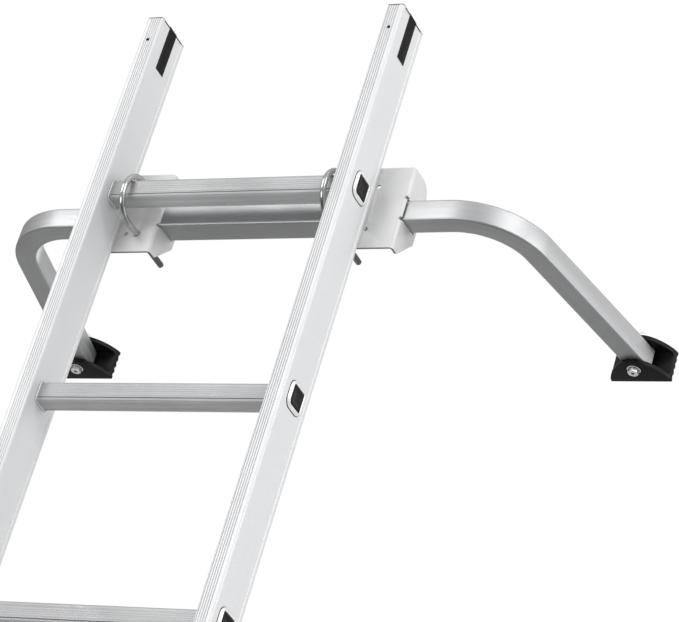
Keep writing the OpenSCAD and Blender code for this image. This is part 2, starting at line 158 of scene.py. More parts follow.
def drawn_metal(name, light, dark, rough, kind="UV", streak=(900, 6, 1), amount=0.5,
                metallic=0.9, smudge=0.35, tint=0.012):
    """Extruded or drawn metal: lines along the piece, faint smudges and short scratches."""
    m = Mat(name)
    lines = m.noise(m.coords(kind, streak), 1.0, 4.0, 0.6)
    obj = m.coords("Object", (1, 1, 1))
    cloud = m.noise(obj, 9.0, 4.0, 0.55, 0.4)
    spots = m.noise(obj, 160.0, 3.0, 0.6)
    share = m.map(lines, 0.3, 0.7, 0.5 - amount / 2, 0.5 + amount / 2)
    base = m.mix(share, grey(dark, tint), grey(light, tint))
    base = m.mix(m.map(cloud, 0.42, 0.68, 0.0, smudge), base, grey(dark * 0.93, tint))
    scr = m.voronoi(m.coords(kind, (90, 9, 1), (0, 0, 0.35)), 1.0)
    scratch = m.map(scr, 0.0, 0.012, 1.0, 0.0)
    sparse = m.map(m.noise(obj, 23.0, 2.0), 0.56, 0.62, 0.0, 1.0)
    scratch = m.math("MULTIPLY", scratch, sparse)
    base = m.mix(m.math("MULTIPLY", scratch, 0.35), base, grey(min(1.0, light * 1.08), tint))
    m.link(base, m.b.inputs["Base Color"])
    m.set(Metallic=metallic)
    r = m.map(lines, 0.25, 0.75, rough - 0.07, rough + 0.09)
    r = m.math("ADD", r, m.map(cloud, 0.4, 0.7, 0.0, 0.07))
    r = m.math("SUBTRACT", r, m.math("MULTIPLY", scratch, 0.12))
    m.link(r, m.b.inputs["Roughness"])
    n = m.bump(lines, 0.25, 0.00006)
    n = m.bump(spots, 0.12, 0.00008, n)
    n = m.bump(scratch, 0.2, 0.00005, n)
    m.link(n, m.b.inputs["Normal"])
    return m.m


def plated_metal(name, light, dark, rough, grain=220.0, metallic=0.95, tint=0.0, flake=0.25):
    """Zinc plated or galvanised sheet and fasteners: soft crystal patches and fine pits."""
    m = Mat(name)
    obj = m.coords("Object", (1, 1, 1))
    patch = m.voronoi(obj, grain, "F1")
    cloud = m.noise(obj, 35.0, 4.0, 0.6, 0.5)
    fine = m.noise(obj, 1400.0, 2.0, 0.6)
    base = m.mix(m.map(patch, 0.0, 0.9, 0.5 - flake, 0.5 + flake), grey(light, tint), grey(dark, tint))
    base = m.mix(m.map(cloud, 0.45, 0.72, 0.0, 0.4), base, grey(dark * 0.9, tint))
    m.link(base, m.b.inputs["Base Color"])
    m.set(Metallic=metallic)
    r = m.math("ADD", m.map(cloud, 0.3, 0.7, rough - 0.05, rough + 0.1),
               m.map(fine, 0.3, 0.7, -0.03, 0.04))
    m.link(r, m.b.inputs["Roughness"])
    n = m.bump(fine, 0.15, 0.00006)
    n = m.bump(cloud, 0.1, 0.0003, n)
    m.link(n, m.b.inputs["Normal"])
    return m.m


def black_stuff(name, light, dark, rough, grain, bump, scuff=0.3, spec=0.5, sheen=0.0):
    """Moulded rubber or plastic: grain, dusty scuffs and a soft gloss."""
    m = Mat(name)
    obj = m.coords("Object", (1, 1, 1))
    fine = m.noise(obj, grain, 3.0, 0.65)
    cloud = m.noise(obj, 45.0, 5.0, 0.6, 0.6)
    base = m.mix(m.map(fine, 0.35, 0.7, 0.0, 1.0), grey(dark), grey(light))
    base = m.mix(m.map(cloud, 0.52, 0.72, 0.0, scuff), base, grey(light * 2.6))
    m.link(base, m.b.inputs["Base Color"])
    m.set(Metallic=0.0, Specular_IOR_Level=spec, Sheen_Weight=sheen)
    r = m.math("ADD", m.map(cloud, 0.3, 0.75, rough - 0.06, rough + 0.14),
               m.map(fine, 0.3, 0.7, -0.04, 0.05))
    m.link(r, m.b.inputs["Roughness"])
    n = m.bump(fine, bump, 0.0002)
    n = m.bump(cloud, 0.15, 0.0008, n)
    m.link(n, m.b.inputs["Normal"])
    return m.m


RAIL_MAT = drawn_metal("rail_metal", 0.77, 0.70, 0.44, amount=0.5, metallic=0.2, smudge=0.2)
RUNG_MAT = drawn_metal("rung_metal", 0.52, 0.32, 0.40, streak=(420, 3, 1), amount=1.0, metallic=0.3)
# Lighter, smoother copy of the rung metal for the swaged lip and the collar flare: painted highlight.
RUNG_HIGHLIGHT_MAT = drawn_metal("rung_lip_painted_highlight", 0.95, 0.86, 0.26, amount=0.4, metallic=0.35, smudge=0.15)
# Near-black metal for thin rings where the rungs meet the webs, and for the pad bolt seats: painted contact
# shade.
PAINTED_SHADE_MAT = drawn_metal("painted_dark_shade", 0.05, 0.03, 0.6, amount=0.4, metallic=0.3, smudge=0.2)
# Near-black floor of the deep groove by each rung's lower front corner: painted shade for a dark corner line.
RUNG_GROOVE_SHADE_MAT = drawn_metal("rung_groove_painted_shade", 0.11, 0.06, 0.4, streak=(420, 3, 1), amount=0.8, metallic=0.3)
# Near-black for the hollow rails' inside and the cap hole walls: painted shade.
RAIL_INSIDE_SHADE_MAT = drawn_metal("rail_inside_painted_shade", 0.06, 0.04, 0.6, amount=0.4, metallic=0.3, smudge=0.2)
# Darker copy of the rail metal for the flange grooves: painted shade.
RAIL_GROOVE_SHADE_MAT = drawn_metal("rail_groove_painted_shade", 0.58, 0.48, 0.5, amount=0.5, metallic=0.2, smudge=0.2)
TUBE_MAT = drawn_metal("tube_metal", 0.57, 0.44, 0.40, streak=(420, 3, 1), amount=0.8)
# Darker than the arm metal because the centre tube lies in the rung's shadow: painted shade.
CENTRE_TUBE_SHADE_MAT = drawn_metal("centre_tube_painted_shade", 0.50, 0.40, 0.38, streak=(700, 4, 1), amount=0.5)
PLATE_MAT = plated_metal("bracket_plate", 0.72, 0.69, 0.52, metallic=0.25, flake=0.1)
# Dark bracket edges: bare cut steel, darkened further as painted shade outlining the plates.
CUT_EDGE_AND_SHADE_MAT = plated_metal("cut_edge_and_painted_shade", 0.22, 0.14, 0.5, metallic=0.5, flake=0.1)
SHEET_MAT = plated_metal("guide_sheet", 0.80, 0.66, 0.40, grain=160.0)
ROD_MAT = plated_metal("bright_rod", 0.60, 0.48, 0.11, grain=90.0, metallic=1.0, flake=0.12)
BOLT_MAT = plated_metal("bolt_steel", 0.95, 0.86, 0.20, grain=320.0, metallic=0.75, flake=0.15)
THREAD_MAT = plated_metal("dark_thread", 0.30, 0.20, 0.34, grain=320.0, metallic=0.9, flake=0.2)
HOOK_MAT = plated_metal("hook_steel", 0.58, 0.46, 0.42, grain=260.0)
SHOE_MAT = drawn_metal("shoe_metal", 0.84, 0.72, 0.40, kind="Object", streak=(40, 500, 40), amount=0.5)
CAP_MAT = black_stuff("black_plastic", 0.010, 0.004, 0.28, 2200.0, 0.10, scuff=0.10, spec=0.16)
NYLON_MAT = black_stuff("nylon", 0.09, 0.06, 0.5, 1500.0, 0.2)
RUBBER_MAT = black_stuff("rubber", 0.009, 0.004, 0.30, 1700.0, 0.2, scuff=0.10, spec=0.14)


# ---------------------------------------------------------------- mesh helpers
class Build:
    """Collects vertices, faces and face-corner UVs, all in mm in the sketch frame."""

    def __init__(self):
        self.v, self.f, self.uv = [], [], []

    def loft(self, rings, cap0=True, cap1=True, closed=True):
        n = len(rings[0])
        base = len(self.v)
        for ring in rings:
            self.v += [tuple(p) for p in ring]
        ref = rings[len(rings) // 2]
        u = [0.0]
        for i in range(n):
            u.append(u[-1] + (Vector(ref[(i + 1) % n]) - Vector(ref[i])).length)
        mids = [sum((Vector(p) for p in r), Vector()) / n for r in rings]
        w = [0.0]
        for a, b in zip(rings, rings[1:]):
            d = (Vector(b[0]) - Vector(a[0])).length
            w.append(w[-1] + max((mids[len(w)] - mids[len(w) - 1]).length, 0.3 * d))
        for k in range(len(rings) - 1):
            for i in range(n if closed else n - 1):
                j = (i + 1) % n
                a, b = base + k * n, base + (k + 1) * n
                self.f.append((a + i, a + j, b + j, b + i))
                self.uv.append([(u[i], w[k]), (u[i + 1], w[k]), (u[i + 1], w[k + 1]), (u[i], w[k + 1])])
        for on, k, ring in ((cap0, 0, rings[0]), (cap1, len(rings) - 1, rings[-1])):
            if on:
                idx = [base + k * n + i for i in range(n)]
                if k == 0:
                    idx.reverse()
                self.f.append(tuple(idx))
                self.uv.append([(u[i - base - k * n], w[k]) for i in idx])

    def box(self, x, y, z):
        r = [[(x[0], y[0], h), (x[1], y[0], h), (x[1], y[1], h), (x[0], y[1], h)] for h in z]
        self.loft(r)


def to_mesh(b, name):
    me = bpy.data.meshes.new(name)
    me.from_pydata([M(p) for p in b.v], [], b.f)
    uv = me.uv_layers.new(name="UVMap")
    i = 0
    for face in b.uv:
        for c in face:
            uv.data[i].uv = (c[0] / 1000, c[1] / 1000)
            i += 1
    return me


def tidy(me, weld=0.00001):
    bm = bmesh.new()
    bm.from_mesh(me)
    bmesh.ops.remove_doubles(bm, verts=bm.verts, dist=weld)
    bmesh.ops.recalc_face_normals(bm, faces=bm.faces)
    bm.to_mesh(me)
    bm.free()


def finish_piece(me, name, mat, body, nodes=(), sharp=32):
    """Turns a mesh into a named piece that rides on a body and replaces CAD nodes."""
    mats = list(mat) if isinstance(mat, (list, tuple)) else [mat]
    index = [min(p.material_index, len(mats) - 1) for p in me.polygons]
    me.materials.clear()
    for m in mats:
        me.materials.append(m)
    for p, i in zip(me.polygons, index):
        p.material_index = i
        p.use_smooth = True
    me.set_sharp_from_angle(angle=math.radians(sharp))
    ob = bpy.data.objects.new(name, me)
    scene.collection.objects.link(ob)
    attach(ob, body)
    if nodes:
        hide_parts(*nodes)
    return ob


def temp(me):
    ob = bpy.data.objects.new("temp", me)
    scene.collection.objects.link(ob)
    return ob


def drop(ob):
    me = ob.data
    bpy.data.objects.remove(ob)
    bpy.data.meshes.remove(me)


def evaluated(ob):
    dg = bpy.context.evaluated_depsgraph_get()
    me = bpy.data.meshes.new_from_object(ob.evaluated_get(dg))
    drop(ob)
    return me


def boolean(me, cutters, op="DIFFERENCE"):
    ob = temp(me)
    cs = [temp(c) for c in cutters]
    for c in cs:
        mod = ob.modifiers.new("b", "BOOLEAN")
        mod.operation = op
        mod.solver = "EXACT"
        mod.object = c
    out = evaluated(ob)
    for c in cs:
        drop(c)
    return out


def bevel(me, width, segs=2, angle=30):
    """Rounds every edge sharper than angle. width in mm."""
    bm = bmesh.new()
    bm.from_mesh(me)
    bmesh.ops.remove_doubles(bm, verts=bm.verts, dist=0.000002)
    bmesh.ops.dissolve_limit(bm, angle_limit=math.radians(0.6), verts=bm.verts, edges=bm.edges)
    bm.to_mesh(me)
    bm.free()
    ob = temp(me)
    mod = ob.modifiers.new("b", "BEVEL")
    mod.width = width / 1000
    mod.segments = segs
    mod.limit_method = "ANGLE"
    mod.angle_limit = math.radians(angle)
    mod.use_clamp_overlap = True
    mod.harden_normals = False
    return evaluated(ob)


def softened(node, mat, body, width=0.5, segs=2, angle=30):
    """A copy of a CAD node with rounded edges, standing for the node."""
    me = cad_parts[node].data.copy()
    me = bevel(me, width, segs, angle)
    return finish_piece(me, node + "_soft", mat, body, (node,), 40)


def prism(outline, z, plane="xy"):
    """A solid from an outline. plane xy extrudes along z, yz along x, xz along y."""
    b = Build()
    rings = []
    for h in z:
        if plane == "xy":
            rings.append([(p[0], p[1], h) for p in outline])
        elif plane == "yz":
            rings.append([(h, p[0], p[1]) for p in outline])
        else:
            rings.append([(p[0], h, p[1]) for p in outline])
    b.loft(rings)
    me = to_mesh(b, "prism")
    tidy(me)
    return me


def arc(cx, cy, r, a0, a1, n):
    return [(cx + r * math.cos(math.radians(a0 + (a1 - a0) * i / n)),
             cy + r * math.sin(math.radians(a0 + (a1 - a0) * i / n))) for i in range(n + 1)]


def rounded(hw, hh, r, n=5):
    pts = []
    corners = ((hw - r, hh - r, 0), (r - hw, hh - r, 90), (r - hw, r - hh, 180), (hw - r, r - hh, 270))
    for cx, cy, a in corners:
        pts += arc(cx, cy, r, a, a + 90, n)
    return pts


def rod_mesh(origin, axis, r, length, n=32):
    """Plain rod used as a cutter."""
    b = Build()
    lathe(b, origin, axis, [(r, 0), (r, length)], n)
    me = to_mesh(b, "rod")
    tidy(me)
    return me


def basis(axis):
    z = Vector(axis).normalized()
    x = z.orthogonal().normalized() if abs(z.z) < 0.9 else Vector((1, 0, 0))
    y = z.cross(x)
    return x, y, z


def lathe(b, origin, axis, profile, n=40, shape=None):
    """Revolves (radius, height) pairs. shape(angle) limits the radius, as on a hexagon."""
    x, y, z = basis(axis)
    o = Vector(origin)
    rings = []
    for r, h in profile:
        ring = []
        for i in range(n):
            t = 2 * math.pi * i / n
            q = min(r, shape(t)) if shape else r
            ring.append(tuple(o + x * q * math.cos(t) + y * q * math.sin(t) + z * h))
        rings.append(ring)
    b.loft(rings)


def hexagon(across):
    def f(t):
        k = (t + math.pi / 6) % (math.pi / 3) - math.pi / 6
        return across / 2 / math.cos(k)
    return f


def hex_part(b, origin, axis, across, h, both=False):
    """Hexagon with turned corners on the outer end, or on both."""
    big = across / math.sqrt(3)
    low = [(big * 0.93, 0), (big * 0.985, 0.5), (big, 1.0)] if both else [(big, 0)]
    prof = low + [(big, h - 1.2), (big * 0.975, h - 0.7), (big * 0.925, h - 0.25), (big * 0.86, h)]
    lathe(b, origin, axis, prof, 48, hexagon(across))


def threaded(b, origin, axis, r, h0, h1, pitch=1.25):
    """Threaded length of a bolt, drawn as close rings, ending in a chamfer."""
    prof = [(r, h0)]
    h = h0
    while h + pitch < h1 - 1.0:
        prof += [(r, h + 0.12 * pitch), (r - 0.62, h + 0.5 * pitch), (r, h + 0.88 * pitch)]
        h += pitch
    prof += [(r - 0.1, h1 - 1.0), (r - 0.9, h1)]
    lathe(b, origin, axis, prof, 32)


# ---------------------------------------------------------------- rails
GROOVE_PITCH, GROOVE_HALF, GROOVE_DEEP = 3.2, 0.85, 0.6
GROOVE_SHIFT = 1.9          # towards the inside of the ladder
WEB_SUNK = 0.8              # how far a web lies inside the flange edges
CAP_HOLE_DROP, CAP_HOLE_R = 35, 2.5


def rail_outline():
    """Section of a right-hand rail about its centre: grooved flanges, sunk webs, round corners."""
    hw, hd, r, n = RAIL_W / 2, RAIL_D / 2, 2.6, 5

    def grooves(sign):
        out = []
        for i in range(-2, 3):
            c = i * GROOVE_PITCH * sign - GROOVE_SHIFT
            wide, floor_w = GROOVE_HALF * sign, 0.45 * sign
            out += [(c - wide, 0), (c - floor_w, GROOVE_DEEP), (c + floor_w, GROOVE_DEEP), (c + wide, 0)]
        return out

    pts = [(x, -hd + d) for x, d in grooves(1)]
    pts += arc(hw - r, r - hd, r, -90, 0, n)
    pts += [(hw, -25.6), (hw - WEB_SUNK, -24.4), (hw - WEB_SUNK, 24.4), (hw, 25.6)]
    pts += arc(hw - r, hd - r, r, 0, 90, n)
    pts += [(x, hd - d) for x, d in grooves(-1)]
    pts += arc(r - hw, hd - r, r, 90, 180, n)
    pts += [(-hw, 25.6), (WEB_SUNK - hw, 24.4), (WEB_SUNK - hw, -24.4), (-hw, -25.6)]
    pts += arc(r - hw, r - hd, r, 180, 270, n)
    return pts


def rail_piece(name, sign, face, y0, bottom, top, body, node):
    cx, cy = sign * (face - RAIL_W / 2), y0 + RAIL_D / 2
    outer = rail_outline()
    inner = [(max(-8.9, min(8.9, x)), max(-29.9, min(29.9, y))) for x, y in outer]
    b = Build()
    seq = [(inner, bottom + 60), (inner, bottom), (outer, bottom), (outer, bottom + 0.4)]
    seq += [(outer, top - 0.4), (outer, top), (inner, top), (inner, top - 30)]
    rings = [[(cx + sign * x, cy + y, z) for x, y in o] for o, z in seq]
    b.loft(rings, False, False)
    me = to_mesh(b, name)
    tidy(me)
    me = boolean(me, [rod_mesh((cx, y0 - 1, top - CAP_HOLE_DROP), (0, 1, 0), CAP_HOLE_R, 6)])
    for p in me.polygons:
        x, y = abs(p.center.x * 1000 - cx), abs(p.center.y * 1000 - front - cy)
        in_hole = x < CAP_HOLE_R + 0.1 and y < 31.8 and abs(p.normal.y) < 0.1
        # Inside faces and hole walls: painted shade.
        inside = x < 9.4 and abs(p.normal.z) < 0.99 and (y < 30.2 or in_hole)
        # Flange groove faces: painted shade.
        groove = 31.85 < y < 32.4 and x < 9.6 and abs(p.normal.z) < 0.5
        p.material_index = 1 if inside else 2 if groove else 0
    return finish_piece(me, name, (RAIL_MAT, RAIL_INSIDE_SHADE_MAT, RAIL_GROOVE_SHADE_MAT), body, (node,),
                        28)


for side, s in SIDES:
    for body, *ends in (("fly", FLY_FACE, 0, FLY_BOTTOM, RAIL_TOP),
                        ("base", BASE_FACE, BASE_Y, BASE_BOTTOM, BASE_TOP)):
        rail_piece(f"{body}_rail_{side}_skin", s, *ends, body, f"{body}_rail_{side}")


# ---------------------------------------------------------------- rungs
def rung_outline(half, r, rib):
    """Rounded square in (y, z) with fine grooves on each face."""
    pts = []
    k = (half - r) / 10.5
    for q in range(4):
        a = math.radians(90 * q)
        side = []
        for i in range(-2, 3):
            c = i * 3.3 * k
            side += [(half, c - 0.55 * k), (half - rib, c), (half, c + 0.55 * k)]
        edge = half - r - 0.5
        deep = half - 3 * rib
        side += [(half, edge - 1.1), (deep, edge - 0.8), (deep, edge + 0.2), (half, edge + 0.5)]
        side += arc(half - r, half - r, r, 0, 90, 5)[1:]
        pts += [(x * math.cos(a) - y * math.sin(a), x * math.sin(a) + y * math.cos(a)) for x, y in side]
    return pts


# (distance from the web, half width, corner radius, groove depth) towards the inner web
COLLAR = ((-9, 13.5, 3.8, 0.22), (-3.2, 13.55, 3.8, 0.22), (-2.2, 13.8, 4.0, 0.15), (-1.2, 14.5, 4.4, 0.1),
          (-0.5, 15.1, 5, 0), (-0.3, 15.0, 5, 0), (-0.25, 15.7, 5.6, 0), (0, 15.7, 5.6, 0), (0.2, 13.5, 3.4, 0))
# (distance from the outer web, half width, corner radius) round the swaged lip and back inside
LIP = ((-0.2, 13.5, 3.4), (0, 19.2, 11.4), (0.15, 19.2, 11.4), (0.2, 18.0, 10.6),
       (0.9, 18.4, 11), (1.3, 18.0, 10.5),
       (1.7, 17.3, 9.6), (2.2, 16.6, 8.4), (2.8, 16.0, 7.2), (3.2, 15.4, 6.4), (3.3, 14.8, 5.4), (3.1, 14.0, 4.2),
       (2.7, 13.5, 3.2), (2.0, 13.2, 2.6), (0.8, 13.1, 2.2), (-8, 12.6, 2.0))
# (distance from the outer web, half width, corner radius) of the plug in the rung's end
PLUG = ((-8, 12.2, 1.6), (2.2, 13.0, 1.6), (2.8, 12.9, 1.6), (3.15, 12.4, 1.6), (3.3, 11.4, 1.6),
        (3.35, 9.6, 1.6), (3.2, 9.0, 1.4), (3.0, 8.6, 1.4), (3.0, 3.0, 1.0))


def rung_mesh(face):
    iw, ow = face - RAIL_W + WEB_SUNK, face - WEB_SUNK
    half = [(iw + x, h, r, d) for x, h, r, d in COLLAR] + [(ow + x, h, r, 0) for x, h, r in LIP]
    secs = [(-x, h, r, d) for x, h, r, d in reversed(half)] + half
    b = Build()
    b.loft([[(x, y, z) for y, z in rung_outline(h, r, d)] for x, h, r, d in secs], False, False)
    me = to_mesh(b, "rung")
    tidy(me)
    for p in me.polygons:
        x = abs(p.center.x) * 1000
        # Lip and collar flare: painted highlight metal.
        if x > ow + 0.21 or iw - 1.7 < x < iw - 0.28:
            p.material_index = 1
        # Thin rings where the rung meets the outer and inner webs: painted contact shade.
        elif x > ow - 0.1 or iw - 0.27 < x < iw + 0.05:
            p.material_index = 2
        # Deep groove by the lower front corner: painted shade.
        elif x < iw - 3.3 and -0.010 < p.center.z < -0.0084:
            p.material_index = 3
    return me


for body, face, y0, first in (("fly", FLY_FACE, 0, 4), ("base", BASE_FACE, BASE_Y, 1)):
    master = rung_mesh(face)
    plugs = Build()
    for i in range(8):
        z = (first + i) * PITCH
        me = master.copy()
        me.transform(Matrix.Translation((0, (y0 + RUNG_Y) / 1000, z / 1000)))
        node = f"{body}_rung_{i + 1}"
        finish_piece(me, node + "_skin", (RUNG_MAT, RUNG_HIGHLIGHT_MAT, PAINTED_SHADE_MAT, RUNG_GROOVE_SHADE_MAT), body, (node,),
                     26)
        for _, s in SIDES:
            plugs.loft([[(s * (face - WEB_SUNK + x), y0 + RUNG_Y + s * p, z + q) for p, q in rounded(h, h, r, 4)]
                        for x, h, r in PLUG])
    bpy.data.meshes.remove(master)
    me = to_mesh(plugs, f"{body}_plugs")
    tidy(me)
    finish_piece(me, f"{body}_rung_plugs_skin", CAP_MAT, body, (f"{body}_rung_plugs",),
                 40)


# ---------------------------------------------------------------- caps, guides, locks
for side, s in SIDES:
    softened(f"fly_cap_{side}", CAP_MAT, "fly", 0.5, 2)
    softened(f"base_cap_{side}", CAP_MAT, "base", 0.5, 2)
    softened(f"base_guide_{side}", SHEET_MAT, "base", 0.8, 3)
    softened(f"fly_guide_{side}", SHEET_MAT, "fly", 0.8, 3)
    softened(f"lock_bracket_{side}", SHEET_MAT, "fly", 0.7, 3)
    softened(f"lock_hook_{side}", HOOK_MAT, f"hook_{side}", 1.0, 3)
    softened(f"shoe_{side}", SHOE_MAT, f"foot_{side}", 0.8, 3)
    softened(f"shoe_pad_{side}", RUBBER_MAT, f"foot_{side}", 1.0, 3)
softened("guide_blocks", NYLON_MAT, "base", 0.8, 3)


def rivet(b, origin, axis, r=4.6, h=1.9, tail=2.5):
    prof = [(2.3, -tail), (2.3, 0), (r, 0)]
    prof += [(r * math.cos(math.radians(a)), h * math.sin(math.radians(a)) + 0.15)
             for a in range(0, 90, 12)]
    prof += [(0.8, h + 0.15)]
    lathe(b, origin, axis, prof, 28)


fly_rivets, base_rivets = Build(), Build()
GUIDE_Z = sum(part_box("fly_guide_right")[i].z for i in (0, 1)) * 500
TOP_GUIDE_Z = sum(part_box("base_guide_right")[i].z for i in (0, 1)) * 500
LOCK_Z = 4 * PITCH + 34
LOCK_WEB = FLY_FACE - RAIL_W + WEB_SUNK
for _, s in SIDES:
    for y in (22, 46):
        rivet(fly_rivets, (s * (FLY_FACE + 3), y, GUIDE_Z), (s, 0, 0))
    for h in (22, 42):
        rivet(fly_rivets, (s * (LOCK_WEB - 3), 22, LOCK_Z + h), (-s, 0, 0))
    for y in (14, 50, BASE_Y + 14, BASE_Y + 48):
        rivet(base_rivets, (s * (BASE_FACE + 3), y, TOP_GUIDE_Z), (s, 0, 0))
for b, body in ((fly_rivets, "fly"), (base_rivets, "base")):
    me = to_mesh(b, body)
    tidy(me)
    finish_piece(me, f"{body}_rivets_skin", BOLT_MAT, body, (f"{body}_rivets",), 35)

pins, bolts, nuts = Build(), Build(), Build()
for _, s in SIDES:
    x0 = LOCK_WEB - 18 - 3
    prof = [(3.0, 0), (5.6, 0.1), (6.4, 0.7), (6.5, 1.4), (6.5, 2.7), (6.3, 3.0)]
    prof += [(4.0, 3.0), (4.0, 20.6), (3.6, 21)]
    lathe(pins, (s * x0, 44, LOCK_Z), (s, 0, 0), prof, 40)
    inner = BASE_FACE - RAIL_W - 3.4
    outer = BASE_FACE + 3.4
    y = BASE_Y + RUNG_Y
    lathe(bolts, (s * (inner - 8), y, 72), (s, 0, 0), [(4.2, 0), (5, 0.8), (5, outer - inner + 8.5)], 40)
    hex_part(bolts, (s * (outer + 0.5), y, 72), (s, 0, 0), 16, 6.5)
    hex_part(nuts, (s * (inner - 0.5), y, 72), (-s, 0, 0), 16, 6.5, True)
for b, body, node in ((pins, "fly", "lock_pins"), (bolts, "base", "shoe_bolts"),
                      (nuts, "base", "shoe_nuts")):
    me = to_mesh(b, node)
    tidy(me)
    finish_piece(me, node + "_skin", BOLT_MAT, body, (node,), 35)


# ---------------------------------------------------------------- stand-off tubes
SPLAY = math.radians(11.4)
ARM_HALF, REACH, BEND_R = 355.3, 410.0, 92.0
TURN = math.pi / 2 - SPLAY
TANGENT = BEND_R * math.tan(TURN / 2)
END_X = ARM_HALF + (REACH - TUBE_Y) * math.tan(SPLAY)
PAD_IN = 14.0
PAD_X = END_X - PAD_IN * math.sin(SPLAY)
PAD_Y = REACH - PAD_IN * math.cos(SPLAY)


def arm_stations():
    """Centre line of the right arm as (point, direction) pairs, in plan."""
    tx = ARM_HALF - TANGENT
    st = [((132.0, TUBE_Y), (1, 0)), ((210.0, TUBE_Y), (1, 0)), ((tx, TUBE_Y), (1, 0))]
    for i in range(1, 37):
        a = TURN * i / 36
        co, si = math.cos(a), math.sin(a)
        st.append(((tx + BEND_R * si, TUBE_Y + BEND_R * (1 - co)), (co, si)))
    st.append(((END_X, REACH), (math.sin(SPLAY), math.cos(SPLAY))))
    return st


def arm_ring(pt, d, half, r):
    nx, ny = d[1], -d[0]
    return [(pt[0] + nx * a, pt[1] + ny * a, c) for a, c in rounded(half, half, r, 6)]


for side, s in SIDES:
    st = arm_stations()
    end, d = st[-1]
    inside = (end[0] - d[0] * 60, end[1] - d[1] * 60)
    rings = [arm_ring(inside, d, 13.5, 1.6), arm_ring(end, d, 13.5, 1.6)]
    rings += [arm_ring(end, d, 14.6, 2.6),
              arm_ring((end[0] - d[0] * 0.4, end[1] - d[1] * 0.4), d, 15, 3)]
    rings += [arm_ring(p, q, 15, 3) for p, q in reversed(st[:-1])]
    rings = [[(STAND_X + s * x, y, CLAMP_Z + s * z) for x, y, z in r] for r in rings]
    b = Build()
    b.loft(rings, False, True)
    me = to_mesh(b, side)
    tidy(me)
    finish_piece(me, f"arm_{side}_skin", TUBE_MAT, "fly", (f"stabilizer_arm_{side}",), 28)

b = Build()
HALF = 222.0
seq = [(-HALF + 80, 15.5, 1.8), (-HALF, 15.5, 1.8), (-HALF, 17.5, 2.8), (-HALF + 0.5, 18, 3.2)]
seq += [(-x, h, r) for x, h, r in reversed(seq)]
rings = [[(STAND_X + x, TUBE_Y + y, CLAMP_Z + z) for y, z in rounded(h, h, r, 6)] for x, h, r in seq]
b.loft(rings, False, False)
me = to_mesh(b, "tube")
tidy(me)
# Centre tube in its darker, painted-shade metal.
finish_piece(me, "centre_tube_skin", CENTRE_TUBE_SHADE_MAT, "fly", ("stabilizer_tube",), 28)


# ---------------------------------------------------------------- clamp brackets
def bracket(side, bend, u_x, cut):
    outer, inner = 5.0, 2.0
    sec = [(bend - 105, 65)]
    sec += arc(bend - outer, 65 + outer, outer, -90, 0, 10)
    sec += [(bend, 110), (bend - 3, 110)]
    sec += arc(bend - outer, 65 + outer, inner, 0, -90, 8)
    sec += [(bend - 105, 68)]
    me = prism(sec, (CLAMP_Z - 60, CLAMP_Z + 60))
    z = CLAMP_Z
    shape = [(60, z - 60), (77, z - 60)] + arc(77, z - 54, 6, -90, -50, 4)
    shape += arc(104, z - 24.5, 6, -50, 0, 5)
    shape += arc(90, z + 40, 20, 0, 90, 14) + [(60, z + 60)]
    me = boolean(me, [prism(shape, (bend - 140, bend + 20), "yz")], "INTERSECT")
    hole = [(68, z - cut / 2), (104.4, z - cut / 2), (104.4, z + cut / 2), (68, z + cut / 2)]
    cuts = [prism(hole, (bend - 12, bend + 5), "yz")]
    for q in (-1, 1):
        cuts.append(rod_mesh((u_x, 60, z + q * 32), (0, 1, 0), 4.6, 12))
        cuts.append(rod_mesh((bend - 44, 60, z + q * 32), (0, 1, 0), 3.0, 12))
        cuts.append(rod_mesh((bend - 1.5, 60, z + q * cut / 2), (0, 1, 0), 2.4, 12))
    me = boolean(me, cuts)
    me = bevel(me, 0.35, 2, 40)
    # Top and bottom cut edges and the sheet's end: dark cut-edge metal with painted shade.
    for p in me.polygons:
        end = abs(p.center.x * 1000 - bend + 105) < 0.2 and abs(p.normal.x) > 0.9
        p.material_index = 1 if abs(p.normal.z) > 0.9 or end else 0
    finish_piece(me, f"bracket_{side}_skin", (PLATE_MAT, CUT_EDGE_AND_SHADE_MAT), "fly", (f"clamp_bracket_{side}",),
                 30)


bracket("left", -110, -138, 36.4)
bracket("right", 235, 150, 31.0)


